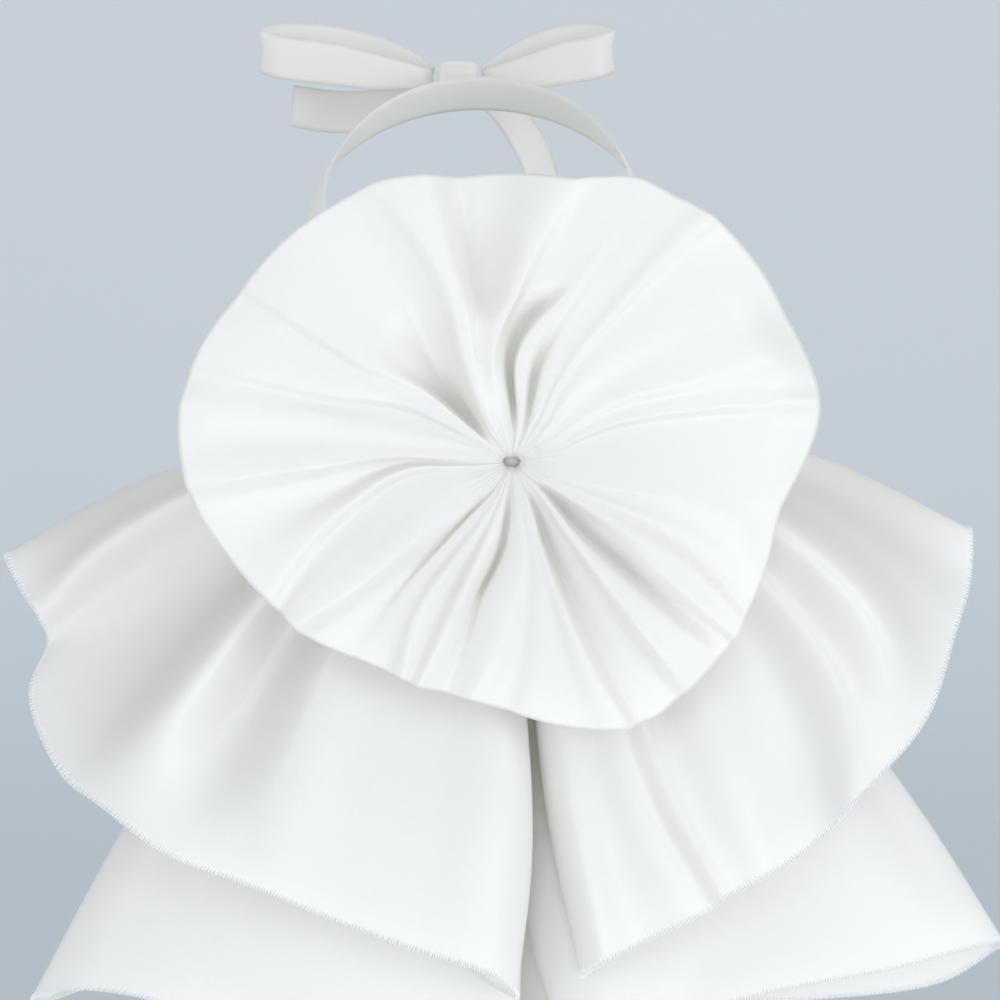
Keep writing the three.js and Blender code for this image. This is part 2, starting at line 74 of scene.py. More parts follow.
# %% [markdown]
# ## Two small helpers for materials
#
# Colours are written as sRGB hex, as on a colour card, and turned to the linear values that the
# renderer works in. A second helper adds one shader node with its settings and its links.

# %% Material helpers
def linear(hex_colour):
    """An sRGB hex colour as linear RGBA."""
    channels = [int(hex_colour[i:i + 2], 16) / 255 for i in (1, 3, 5)]
    return [c / 12.92 if c <= 0.04045 else ((c + 0.055) / 1.055) ** 2.4 for c in channels] + [1.0]


def add_node(tree, kind, settings=(), inputs=(), links=()):
    """One shader node: its properties, its plain input values, and what feeds its inputs."""
    node = tree.nodes.new(kind)
    for key, value in dict(settings).items():
        setattr(node, key, value)
    for key, value in dict(inputs).items():
        node.inputs[key].default_value = value
    for key, (source, output) in dict(links).items():
        tree.links.new(source.outputs[output], node.inputs[key])
    return node


# %% [markdown]
# ## Satin
#
# The collar is polyester satin: a twill face so fine that it reads as a soft sheen, with thin
# diagonal ribs that show where light grazes the flat parts. The real ribs are about 0.35 mm apart.
# They are drawn 0.9 mm apart, because finer ones would vanish at this distance.
#
# What each part of the material gives the eye: the ribs and slubs break the highlights into a
# grain, the low roughness keeps them as soft streaks along the folds, the faint clouds stop large
# flat parts from looking painted, and the light that passes through the thin cloth keeps its shade
# pale and a little warm.

# %% Satin material
def satin(name, colour, rib_mm, roughness, rib_depth):
    """Woven satin with ribs rib_mm apart and rib_depth mm deep, on cloth laid out in metres."""
    material = bpy.data.materials.new(name)
    material.use_nodes = True
    tree = material.node_tree
    tree.nodes.clear()
    where = add_node(tree, "ShaderNodeUVMap", {"uv_map": "cloth"})
    turned = add_node(tree, "ShaderNodeMapping", inputs={"Rotation": (0, 0, math.radians(52))},
                      links={"Vector": (where, "UV")})
    ribs = add_node(tree, "ShaderNodeTexWave", {"wave_type": "BANDS", "bands_direction": "X"},
                    {"Scale": 2 * math.pi / (20 * rib_mm * MM), "Distortion": 0.15, "Detail": 1.0,
                     "Detail Scale": 1.5},
                    {"Vector": (turned, "Vector")})
    slubs = add_node(tree, "ShaderNodeTexNoise", {}, {"Scale": 900.0, "Detail": 3.0},
                     {"Vector": (where, "UV")})
    height = add_node(tree, "ShaderNodeMath", {"operation": "MULTIPLY_ADD"}, {1: 0.25},
                      {0: (slubs, "Fac"), 2: (ribs, "Fac")})
    bump = add_node(tree, "ShaderNodeBump", {}, {"Strength": 0.35, "Distance": rib_depth * MM},
                    {"Height": (height, "Value")})
    cloudy = add_node(tree, "ShaderNodeTexNoise", {}, {"Scale": 14.0, "Detail": 2.0},
                      {"Vector": (where, "UV")})
    tone = add_node(tree, "ShaderNodeMix", {"data_type": "RGBA"},
                    {"A": linear(colour), "B": linear("#F4F5F3")}, {"Factor": (cloudy, "Fac")})
    skin = add_node(tree, "ShaderNodeBsdfPrincipled", {},
                    {"Roughness": roughness, "IOR": 1.5, "Specular IOR Level": 0.6,
                     "Sheen Weight": 0.15, "Sheen Roughness": 0.4},
                    {"Base Color": (tone, "Result"), "Normal": (bump, "Normal")})
    through = add_node(tree, "ShaderNodeBsdfTranslucent", {}, {"Color": linear("#FDF9EF")},
                       {"Normal": (bump, "Normal")})
    both = add_node(tree, "ShaderNodeMixShader", {}, {0: 0.42},
                    {1: (skin, "BSDF"), 2: (through, "BSDF")})
    add_node(tree, "ShaderNodeOutputMaterial", {}, {}, {"Surface": (both, "Shader")})
    return material


white_satin = satin("white polyester satin", "#F9FAFA", 0.9, 0.38, 0.045)
ribbon_satin = satin("white satin ribbon", "#FAF9F7", 0.6, 0.36, 0.04)
print("made", white_satin.name, "and", ribbon_satin.name)


# %% [markdown]
# ## Thread
#
# The overlock thread is spun polyester. It is matt and a little fuzzy, so each stitch reads as a
# pale dash and not as a shiny wire.

# %% Thread material
def thread(name, colour):
    """Spun thread: rough, with a sheen for its loose fibres."""
    material = bpy.data.materials.new(name)
    material.use_nodes = True
    skin = material.node_tree.nodes["Principled BSDF"]
    skin.inputs["Base Color"].default_value = linear(colour)
    skin.inputs["Roughness"].default_value = 0.6
    skin.inputs["Sheen Weight"].default_value = 0.4
    return material


overlock_thread = thread("white overlock thread", "#FBFCFE")
print("made", overlock_thread.name)


# %% [markdown]
# ## Cloth from folds
#
# A fold is followed from the gathered head down to the hem. Between two folds the cloth runs in a
# smooth line. A sheet is then two grids of points, its outer and its inner face, joined at the hems.

# %% Smooth lines and cloth meshes
def smooth_loop(points, per_span):
    """A closed run of fold lines, rows x stations x 3, with per_span lines from each to the next."""
    p0, p1, p2, p3 = (np.roll(points, shift, 0) for shift in (1, 0, -1, -2))

    def gap(a, b):
        return np.sqrt(np.maximum(np.linalg.norm(b - a, axis=-1, keepdims=True), 1e-6))

    d0, d1, d2 = gap(p0, p1), gap(p1, p2), gap(p2, p3)
    leave = ((p1 - p0) / d0 - (p2 - p0) / (d0 + d1) + (p2 - p1) / d1) * d1
    arrive = ((p2 - p1) / d1 - (p3 - p1) / (d1 + d2) + (p3 - p2) / d2) * d1
    parts = []
    for t in np.arange(per_span) / per_span:
        parts.append((2 * t**3 - 3 * t**2 + 1) * p1 + (t**3 - 2 * t**2 + t) * leave
                     + (3 * t**2 - 2 * t**3) * p2 + (t**3 - t**2) * arrive)
    return np.stack(parts, 1).reshape(-1, *points.shape[1:])


def face_normals(grid):
    """Unit normals of a grid of points that is closed round its first axis."""
    around = np.roll(grid, -1, 0) - np.roll(grid, 1, 0)
    along = np.gradient(grid, axis=1)
    n = np.cross(around, along)
    return n / np.maximum(np.linalg.norm(n, axis=-1, keepdims=True), 1e-9)


def mesh_from(name, points, faces, uv, material, round_length=None):
    """A mesh object from arrays; points in millimetres, uv in metres of cloth.

    round_length is how far u runs once round a closed piece, where its first and last rows meet.
    """
    mesh = bpy.data.meshes.new(name)
    faces = np.asarray(faces, dtype=np.int32)
    mesh.vertices.add(len(points))
    mesh.vertices.foreach_set("co", (np.asarray(points) * MM).astype(np.float32).ravel())
    mesh.loops.add(faces.size)
    mesh.loops.foreach_set("vertex_index", faces.ravel())
    mesh.polygons.add(len(faces))
    mesh.polygons.foreach_set("loop_start", np.arange(0, faces.size, faces.shape[1], dtype=np.int32))
    mesh.update(calc_edges=True)
    mesh.polygons.foreach_set("use_smooth", np.ones(len(faces), bool))
    corners = np.asarray(uv)[faces]
    if round_length:
        u = corners[..., 0]
        u += round_length * (u.max(1, keepdims=True) - u > round_length / 2)
    layer = mesh.uv_layers.new(name="cloth")
    layer.data.foreach_set("uv", corners.astype(np.float32).ravel())
    mesh.materials.append(material)
    mesh.validate()
    piece = bpy.data.objects.new(name, mesh)
    bpy.context.collection.objects.link(piece)
    return piece


def grid_faces(rows, columns, start=0, flip=False):
    """Quads of a grid closed round its rows."""
    i, j = np.meshgrid(np.arange(rows), np.arange(columns - 1), indexing="ij")
    k = (i + 1) % rows
    a, b = start + i * columns + j, start + k * columns + j
    quads = np.stack([a, b, b + 1, a + 1], -1).reshape(-1, 4)
    return quads[:, ::-1] if flip else quads


def wall_mesh(name, outer, inner, uv, material, round_length=None):
    """One closed wall of cloth between two grids that are closed round their first axis."""
    rows, columns = outer.shape[:2]
    offset = rows * columns
    faces = [grid_faces(rows, columns), grid_faces(rows, columns, offset, True)]
    i = np.arange(rows)
    k = (i + 1) % rows
    for j, turn in ((0, 1), (columns - 1, -1)):
        a, b = i * columns + j, k * columns + j
        faces.append(np.stack([a, offset + a, offset + b, b], -1)[:, ::turn])
    points = np.concatenate([outer.reshape(-1, 3), inner.reshape(-1, 3)])
    uv = np.concatenate([uv.reshape(-1, 2)] * 2)
    return mesh_from(name, points, np.concatenate(faces), uv, material, round_length)


# %% [markdown]
# ## The flounces
#
# Each flounce is a flared piece of satin folded along both sides, so that it hangs as a flattened
# bell with a front and a back layer. Its table has one row per fold, from the outer folded side to
# the inner one: where the fold is 0.65 of the way down, and where it reaches the hem, how far the
# back layer lies behind it (0 where the back has no fold), and how far the back's hem hangs lower.

# %% Fold tables of the flounces, in millimetres
FOLD_COLUMNS = ("mid x", "mid y", "mid z", "hem x", "hem y", "hem z", "behind", "drop")
UPPER_LEFT = [
    (-139, -27, -100, -183, -33, -124, 7, 0),
    (-136, -46, -101, -176, -45, -133, 0, 0),
    (-135, -60, -105, -169, -54, -140, 10, -3),
    (-128, -55, -120, -166, -50, -152, 0, 0),
    (-122, -58, -131, -172, -62, -168, 14, -3),
    (-113, -70, -138, -158, -90, -188, 0, 0),
    (-96, -106, -133, -142, -106, -194, 18, -3),
    (-85, -97, -153, -117, -123, -205, 0, 0),
    (-65, -118, -153, -86, -130, -215, 9, -3),
    (-42, -121, -161, -57, -134, -226, 0, 0),
    (-17, -124, -166, -28, -138, -236, 8, -3),
    (5, -128, -170, 3, -141, -246, 0, 0),
    (16, -121, -181, 11, -134, -258, 6, 0),
]
UPPER_RIGHT = [
    (132, -25, -90, 183, -30, -115, 7, 0),
    (130, -42, -96, 182, -40, -131, 0, 0),
    (130, -64, -102, 175, -58, -145, 10, -3),
    (129, -88, -113, 162, -82, -171, 0, 0),
    (120, -84, -138, 137, -92, -198, 14, -3),
    (101, -108, -139, 123, -116, -201, 0, 0),
    (81, -119, -152, 104, -128, -210, 12, -3),
    (60, -116, -164, 87, -127, -221, 0, 0),
    (49, -124, -162, 79, -137, -222, 13, -3),
    (37, -122, -165, 55, -135, -236, 0, 0),
    (27, -122, -169, 42, -138, -242, 11, -3),
    (19, -113, -175, 34, -128, -253, 6, 0),
]
LOWER_LEFT = [
    (-134, -84, -209, -173, -90, -282, 7, 0),
    (-125, -93, -207, -160, -100, -273, 0, 0),
    (-110, -100, -207, -144, -108, -269, 10, -3),
    (-93, -107, -209, -121, -116, -270, 0, 0),
    (-72, -113, -209, -88, -123, -283, 10, -3),
    (-50, -117, -211, -51, -129, -299, 0, 0),
    (-21, -119, -214, -18, -132, -314, 10, -3),
    (4, -119, -216, 4, -133, -325, 0, 0),
    (12, -115, -217, 9, -129, -331, 7, 0),
]
LOWER_RIGHT = [
    (153, -66, -199, 196, -80, -263, 7, 3),
    (143, -77, -201, 177, -92, -261, 10, 12),
    (131, -88, -204, 154, -101, -263, 0, 0),
    (111, -100, -209, 116, -112, -265, 10, 9),
    (91, -109, -211, 93, -119, -267, 0, 0),
    (70, -115, -214, 74, -126, -271, 10, -3),
    (52, -116, -218, 62, -129, -284, 0, 0),
    (31, -115, -218, 53, -132, -305, 0, 0),
    (12, -107, -219, 40, -125, -314, 0, 0),
    (12, -96, -222, 42, -114, -318, 0, 0),
    (3, -88, -226, 18, -103, -324, 9, 0),
]

HEAD_Z = -37
UPPER_HEAD = {"front": -77.1, "back": -73, "sink": -10}
LOWER_HEAD = {"front": -71.2, "back": -67.3, "sink": 18}
LEFT_HEAD = (-36, 1)
RIGHT_HEAD = (38, 9)
MID_SHARE = 0.65
CLOTH_MM = 0.6
# the mesh: points down each line of cloth, and lines from one fold to the next
POINTS_DOWN = 76
LINES_PER_FOLD = 16


# %% [markdown]
# ## From fold lines to flounces
#
# A fold starts at the head, sinks behind the flower, swings forward over the tier below and runs
# straight to the hem. The back layer repeats the front one, softened and set back at right angles
# to the cloth.

# %% Fold lines and the flounce meshes
def fold_lines(table, head, place, shares):
    """Every fold line of a flounce, front layer then back layer, at the given shares of its way."""
    t = np.array(table, float)
    last = len(t) - 1
    mid, hem = t[:, 0:3], t[:, 3:6]
    behind, drop = (t[:, FOLD_COLUMNS.index(name)] for name in ("behind", "drop"))
    order = np.arange(len(t)) / last
    heads = np.stack([place[0] + (place[1] - place[0]) * order, np.full(len(t), head["front"]),
                      np.full(len(t), HEAD_Z)], 1)
    middle = (head["front"] + head["back"]) / 2
    heads[[0, last], 1] += 0.3 * (middle - heads[[0, last], 1])
    sink = head["sink"] * (1 - 0.8 * order)

    def eased(a):
        s = a.copy()
        s[1:-1] = (2 * a[1:-1] + a[:-2] + a[2:]) / 4
        return s

    back = np.flatnonzero(behind > 0)[::-1]
    back_heads = heads[back].copy()
    back_heads[:, 1] = head["back"]
    back_heads[[0, -1], 1] += 0.3 * (middle - back_heads[[0, -1], 1])
    side = np.sign(place[1] - place[0])

    def straight_back(upper, lower):
        way = np.concatenate([lower[1:], lower[-1:]]) - np.concatenate([lower[:1], lower[:-1]])
        back_way = side * np.cross(way, lower - upper)
        return behind[:, None] * back_way / np.linalg.norm(back_way, axis=1, keepdims=True)

    mids = np.concatenate([mid, (eased(mid) + straight_back(heads, mid))[back]])
    heads = np.concatenate([heads, back_heads])
    lower_hem = eased(hem) + straight_back(mid, hem) - drop[:, None] * [0, 0, 1]
    hems = np.concatenate([hem, lower_hem[back]])
    sinks = np.concatenate([sink, sink[back]])[:, None]

    lines = []
    slope = (hems - heads) * 0.5
    for share in shares:
        if share < MID_SHARE:
            u = share / MID_SHARE
            start, leave, end, arrive = heads, (mids - heads) * [1, 0, 1], mids, slope
            dip = sinks * math.sin(math.pi * u**0.65) ** 2
        else:
            u = (share - MID_SHARE) / (1 - MID_SHARE)
            start, leave, end, arrive = mids, slope, hems, hems - mids
            dip = 0 * sinks
        line = ((2 * u**3 - 3 * u**2 + 1) * start + (u**3 - 2 * u**2 + u) * leave
                + (3 * u**2 - 2 * u**3) * end + (u**3 - u**2) * arrive)
        lines.append(line + dip * [0, 1, 0])
    return np.stack(lines, 1)


def make_flounce(name, table, head, place):
    """A flounce's mesh, and the grids of its outer and its inner face."""
    shares = np.linspace(0, 1, POINTS_DOWN)
    outer = smooth_loop(fold_lines(table, head, place, shares), LINES_PER_FOLD)
    turn = np.sign(place[1] - place[0])
    inner = outer + face_normals(outer) * turn * CLOTH_MM
    round_it = np.linalg.norm(np.roll(outer, -1, 0) - outer, axis=-1)
    down_it = np.linalg.norm(np.diff(outer, axis=1, prepend=outer[:, :1]), axis=-1)
    uv = np.stack([np.cumsum(round_it, 0) - round_it, np.cumsum(down_it, 1)], -1) * MM
    midway = round_it[:, POINTS_DOWN // 2 + 2].sum() * MM
    piece = wall_mesh(name, outer, inner, uv, white_satin, midway)
    print(f"{name}: head {round_it[:, 0].sum():.0f} mm round, hem {round_it[:, -1].sum():.0f} mm round, "
          f"{down_it.sum(1).mean():.0f} mm down")
    return piece, outer, inner


flounces = {}
for name, table, head, place in (
    ("upper_left_flounce", UPPER_LEFT, UPPER_HEAD, LEFT_HEAD),
    ("upper_right_flounce", UPPER_RIGHT, UPPER_HEAD, RIGHT_HEAD),
    ("lower_left_flounce", LOWER_LEFT, LOWER_HEAD, LEFT_HEAD),
    ("lower_right_flounce", LOWER_RIGHT, LOWER_HEAD, RIGHT_HEAD),
):
    flounces[name] = make_flounce("satin_" + name, table, head, place)


# %% [markdown]
# ## The flower
#
# The flower is a doubled round of satin, drawn up to its middle with a running thread. Its folds run
# out from the pinched eye. Each row of the table is one crest, lip or groove of a fold, with its
# angle and its height on the way out from the eye, and how far the folded rim reaches there.

# %% Fold table of the flower: angles in degrees, heights and reach in millimetres
ANGLE_SHARES = (0.1, 0.3, 0.6, 1)
HEIGHT_SHARES = (0.1, 0.28, 0.48, 0.62, 0.82, 1)
FLOWER_COLUMNS = ("angle at 0.1", "angle at 0.3", "angle at 0.6", "rim angle",
                  "height at 0.1", "height at 0.28", "height at 0.48", "height at 0.62",
                  "height at 0.82", "rim height", "reach")
FLOWER_FOLDS = np.array([
    (-5, -5, -7, -8, 0.8, 2.4, 3.8, 4, 3.4, 0, 97),        # middle of the right petal
    (13, 18.4, 14, 8.6, 1, 2, 3, 3.2, 2.8, -2.4, 111),  # floor under the right lip
    (15, 21.5, 16.8, 10.9, 1.2, 3.6, 4.8, 5, 4.2, -1.5, 111),  # right lip
    (22, 27, 21, 14, 1.2, 3.4, 4.4, 4.6, 3.4, -3, 112),
    (29, 33, 26, 22, 1.4, 4, 5.6, 6, 5.8, -4, 111),       # crest that ends in the curled rim
    (36, 41, 36, 28, 1.2, 3.8, 4.8, 5.2, 4.8, -3.4, 110),
    (42, 51, 43, 36, 1.4, 4.6, 5.4, 5.6, 5, -1, 111),     # soft crest
    (48, 57, 53, 48, 1.2, 4, 4.8, 4.8, 5, 2.4, 112),
    (53, 60, 56, 51.5, 1.4, 4.6, 5.6, 6.2, 6.6, 5.4, 112),  # thin crest at the upper right
    (58, 63.5, 60, 56, 1.2, 3.8, 4.6, 4.8, 5, 3.8, 111),
    (62, 68.5, 64.5, 58, 1.2, 3.6, 4.2, 4.6, 4.8, 3.8, 110),
    (65.5, 72, 66, 59.5, 1, 3.2, 4.2, 4.6, 4.6, 3.7, 110),
    (69, 75, 68, 61.5, 0.6, -1.2, 3.6, 4.4, 4.4, 3.7, 110),  # short groove near the eye
    (75, 81, 70, 63.5, 1.2, 4, 4.6, 4.5, 4.3, 3.6, 110),
    (81, 88, 72, 65.5, 1, 3.8, 4.6, 4.2, 4, 3.6, 110),     # lip over the deep wedge
    (86, 90.5, 76, 68, 0.4, -3.2, -2.6, 3.4, 3.8, 3.5, 109),  # deep wedge above the eye
    (92, 96, 84, 72, 1, 3.8, 1.4, 2.6, 3.4, 3.5, 106),
    (100, 102, 88, 78, 1.5, 5.2, 6.6, 6.6, 6, 5, 102),     # broad crest
    (109, 108, 101, 100, 1.4, 4.8, 4.6, -1, -5, -4.6, 102),  # wide valley at the top
    (118, 111.5, 107, 106.6, 1.5, 5.2, 6.8, 6, 4.8, 4.2, 106),
    (124, 116, 110, 115, 1.3, 4.8, 6.6, 6.6, 6, 4.8, 110),  # band crest beside the valley
    (129, 122, 114.5, 119, 0.6, 1, 2.4, 3.6, 3.4, 3, 110),
    (134, 131, 124, 121.5, 0.6, -4.6, -2.6, 0.6, 1.6, 2, 110),  # pocket left of the eye
    (137, 136, 136, 134, 0.7, -4.5, 2.6, 4, 4.6, 4, 112),   # large smooth panel
    (140, 139.5, 145.7, 145.5, 1.2, 4.4, 6, 6.6, 6.6, 5, 113),  # crest at the upper left
    (143, 144, 149, 149, 1.1, 3.8, 4.8, 4.8, 4.6, 3.4, 113),
    (146, 148, 152, 153, 1.3, 4, 5.2, 5.4, 5.4, 4, 115),
    (149, 150.6, 159.5, 162.2, 1.2, 3.6, 4.6, 4.8, 4.8, 3.6, 118),  # left lip
    (151, 153, 161.8, 164.4, 0.9, 2.4, 3, 3.2, 3.2, 2.2, 118),
    (157, 163.5, 166, 170, 1.3, 3.8, 4.8, 4.8, 4.6, 3.8, 119),
    (164, 171, 173.5, 176, 1.1, 3.4, 4.2, 3.8, 3.4, 3, 118),  # middle of the left petal
    (172, 174.5, 180, 184, 1.3, 3.8, 5, 5.6, 6, 4.8, 115),
    (176, 176, 181.4, 185.6, 1.2, 3.6, 4.8, 5.2, 5.2, 3.8, 114),  # lip of the left petal
    (178, 177.6, 183.6, 188.2, 0.8, 2.2, 2.8, 3, 3, 2.4, 113),
    (181, 179.4, 189, 196, 0.9, 2, 1.6, 1.6, 1.8, 2, 107),
    (184, 181.6, 194, 209.4, 1.3, 3.6, 4.8, 4.8, 4.8, 4, 99),  # curved crest
    (192, 187, 198.5, 212.2, 0.9, 2.4, 2.6, 2.6, 2.6, 2.4, 98),  # curved groove
    (204, 203, 207, 214.3, 1.2, 3.4, 4, 4.4, 4.6, 4, 97),
    (217, 216, 218, 216.5, 1.2, 3.6, 6.4, 6.8, 6.6, 5, 97),  # broad crest at the lower left
    (226, 224, 223.8, 221, 1, 3, 2.8, 2.8, 3.2, 2.6, 95),
    (234, 229.6, 227.8, 229, 0.7, 0.8, 1, 1.8, 2, 2, 90),  # slit at the lower left
    (238, 231, 229.2, 232.5, 1, 2.8, 3.2, 3, 2.6, 2.2, 88),
    (244, 237, 233.7, 239, 1.1, 2.8, 3.2, 3.4, 3.2, 2.4, 86),
    (248, 242, 237.2, 243, 1.3, 3.4, 4.6, 5, 5.2, 4.2, 86),  # thin crest
    (251.5, 247, 243.3, 245, 1.1, 3, 3.4, 3.4, 3.4, 3.2, 86),
    (255, 251, 248.8, 247, 1.3, 3.8, 6, 6.4, 6.2, 5.2, 86),  # bright crest
    (259, 259, 253.5, 250.7, 1, 2.8, 2.6, 3.4, 4, 3.6, 85),
    (266, 264.6, 255.8, 254, 0.7, -0.4, -0.6, 1.4, 2, 2, 85),  # slit below the eye
    (271, 267.3, 257.5, 256.2, 1, 2.8, 3.2, 3, 3, 2.8, 85),
    (278, 278, 269, 260, 1.4, 4, 5.6, 6, 5.8, 4.8, 85),    # crest below the eye
    (283, 281.5, 275.5, 268, 1.2, 3.6, 4.2, 4.2, 4.2, 3.8, 87),
    (287, 284.5, 280, 273.5, 1.3, 3.8, 4.8, 5, 5.2, 4.8, 90),
    (291, 287, 284.6, 284, 1.3, 3.9, 5, 4.6, 4.4, 4.2, 97),
    (295, 289.5, 290.2, 293.6, 1.4, 4.4, 6, 6.2, 6.2, 5.4, 103),  # crest at the lower right
    (300, 293.5, 294.6, 296.2, 0.6, -1.6, -0.6, -0.2, 1.2, 2, 103),
    (304.5, 300, 299.4, 300, 0.7, 1, 1.4, 1.6, 2, 2.4, 104),
    (310, 305.2, 304.6, 305, 1, 2.6, 3.2, 3.4, 3.6, 2.6, 102),
    (313, 308.5, 308, 308.2, 1.3, 4.2, 6.2, 6.6, 6.8, 4.4, 102),  # crest with a bright panel
    (318, 312.6, 314.5, 316.5, 1.1, 3.8, 4.4, 4.6, 5.4, 2, 101),
    (322, 315.7, 317.4, 320.4, 0.5, -3.6, -3.4, -2, 0.2, 0.6, 101),  # deep wedge, lower right
    (326, 323.3, 324, 322.3, 0.6, -2, 0.6, 2.8, 3, 2.6, 101),
    (329.5, 329, 330, 324.6, 0.6, 1.8, 2.8, 3, 2.8, 2.4, 100),
    (333, 337, 335.6, 328, 0.2, 0.9, 0.8, 0.6, 0.2, 0.4, 99),  # soft valley
    (339, 341.6, 344, 338, 0.2, 1.8, 2.8, 3, 2.6, 2, 97),
    (345, 346.5, 349, 346.5, 0.6, 2.4, 3.8, 4, 3.8, 1.6, 96),
], float)
# share of the reach and how high the gathered middle stands there
EYE_DISH = np.array([(0.018, -2.2), (0.035, -0.3), (0.06, 0.2), (0.14, 1), (0.3, 2), (0.55, 2.6),
                     (0.8, 2), (0.92, 1.2), (1, 0)])
# how much wider than high the eye is, and how far out that is seen
EYE_WIDER = 0.7
# how much higher the thin cloth's folds stand than the table says
FOLD_STRENGTH = 1.35
EYE_SHARE = 0.1
FLOWER_CENTRE = np.array([8.7, -103, -62.3])
FLOWER_LEAN = math.radians(15)
FLOWER_UP = np.array([0, math.sin(FLOWER_LEAN), math.cos(FLOWER_LEAN)])
FLOWER_OUT = np.array([0, -math.cos(FLOWER_LEAN), math.sin(FLOWER_LEAN)])
GATHER_MM = 0.08
# how thick the doubled satin is at some shares of the reach, thinner at the folded rim
DOUBLED_SHARES = (0, 0.1, 0.4, 0.93, 0.985, 1)
DOUBLED_MM = (1.2, 1.4, 2.0, 2.4, 1.8, 0.9)
# the mesh: rings of points out from the eye, and degrees from one line of points to the next
FLOWER_RINGS = 78
FLOWER_STEP = 0.8


# %% [markdown]
# ## Curves for the petals
#
# The heights and angles of a fold are read between their places along a curve that never swings
# past them, so a flat petal stays flat and a crest stays at its height.

# %% Curves that never overshoot their points
def hermite(t, start, end, leave, arrive):
    """A smooth way from start to end, with the rise per unit of t at both ends."""
    return ((2 * t**3 - 3 * t**2 + 1) * start + (t**3 - 2 * t**2 + t) * leave
            + (3 * t**2 - 2 * t**3) * end + (t**3 - t**2) * arrive)


def calm_slopes(left, right):
    """The slope at a point from the slopes on both sides of it: none at a crest or in a groove."""
    return np.where(left * right > 0, 2 * left * right / (left + right + 1e-12), 0)


def read_along(places, values, at):
    """Rows of values given at places, read at other places along a calm curve."""
    places, at = np.array(places, float), np.array(at, float)
    rise = np.diff(values, axis=-1) / np.diff(places)
    slope = np.concatenate([rise[..., :1], calm_slopes(rise[..., :-1], rise[..., 1:]), rise[..., -1:]], -1)
    k = np.clip(np.searchsorted(places, at, side="right") - 1, 0, len(places) - 2)
    span = places[k + 1] - places[k]
    t = np.clip((at - places[k]) / span, 0, 1)
    return hermite(t, values[..., k], values[..., k + 1], slope[..., k] * span, slope[..., k + 1] * span)


# %% [markdown]
# ## The petals as a mesh
#
# The flower's face is a height over its own leaning plane, at every angle and every share of the
# reach. Fine gathers ripple round the eye. The back face follows it, as thick as two layers.

# %% The flower mesh
def on_flower(angle, reach, height):
    """A place on the flower, in its own leaning plane, moved into the collar's frame."""
    a = np.radians(angle)[..., None]
    return (FLOWER_CENTRE + reach[..., None] * (np.cos(a) * [1, 0, 0] + np.sin(a) * FLOWER_UP)
            + height[..., None] * FLOWER_OUT)


def softened(grid, times):
    """A grid smoothed round its first axis, which is closed."""
    for _ in range(times):
        grid = (2 * grid + np.roll(grid, 1, 0) + np.roll(grid, -1, 0)) / 4
    return grid


def flower_front(step_degrees, shares):
    """The front face: one line of points out from the eye for each small step round the flower."""
    angles = read_along(ANGLE_SHARES, FLOWER_FOLDS[:, 0:4], shares)
    heights = FOLD_STRENGTH * read_along(HEIGHT_SHARES, FLOWER_FOLDS[:, 4:10], shares)
    reach = FLOWER_FOLDS[:, FLOWER_COLUMNS.index("reach")]
    span = np.diff(np.concatenate([angles, angles[:1] + 360]), axis=0)
    width = np.maximum(np.abs(span), 0.2)
    rise = np.diff(np.concatenate([heights, heights[:1]]), axis=0) / width
    slope = calm_slopes(np.roll(rise, 1, 0), rise)
    lines = []
    for i in range(len(angles)):
        k = (i + 1) % len(angles)
        steps = int(np.clip(round(width[i].max() / step_degrees), 3, 18))
        for t in np.arange(steps) / steps:
            height = hermite(t, heights[i], heights[k], slope[i] * width[i], slope[k] * width[i])
            lines.append((angles[i] + span[i] * t, reach[i] + (reach[k] - reach[i]) * t, height))
    angle, rim_reach, height = (np.stack(column) for column in zip(*lines))
    rim_reach = softened(rim_reach, 12)
    a = np.radians(angle)
    close = np.exp(-((shares - 0.12) / 0.09) ** 2)
    gathers = np.sin(47 * a + 2 * np.sin(3 * a)) + 0.5 * np.sin(83 * a + 3 * np.sin(2 * a) + 1)
    height = softened(height, 1) * np.clip(shares / 0.1, 0.25, 1) + GATHER_MM * close * gathers
    dish = read_along(EYE_DISH[:, 0], EYE_DISH[None, :, 1], shares)[0]
    oval = 1 + EYE_WIDER * np.cos(a) ** 2 * np.clip(1 - shares / EYE_SHARE, 0, 1)
    return angle, rim_reach[:, None] * shares * oval, height + dish


def make_flower():
    """The doubled satin round, from its eye to its folded rim."""
    first = EYE_DISH[0, 0]
    shares = first + (1 - first) * np.linspace(0, 1, FLOWER_RINGS) ** 1.2
    angle, reach, height = flower_front(FLOWER_STEP, shares)
    front = on_flower(angle, reach, height)
    normals = face_normals(front)
    if (normals @ FLOWER_OUT).mean() < 0:
        normals = -normals
    gap = np.interp(shares, DOUBLED_SHARES, DOUBLED_MM)
    back = front - normals * gap[:, None]
    a = np.radians(angle)
    uv = np.stack([reach * np.cos(a), reach * np.sin(a)], -1) * MM
    return wall_mesh("satin_flower", front, back, uv, white_satin)


flower = make_flower()
print("flower has", len(flower.data.vertices), "points and", len(flower.data.polygons), "faces")


# %% [markdown]
# ## The stem behind the flower
#
# The raw edges of the flower are gathered into a short fluted plug, which is sewn to the heads of
# the flounces. It shows only through the flower's eye.

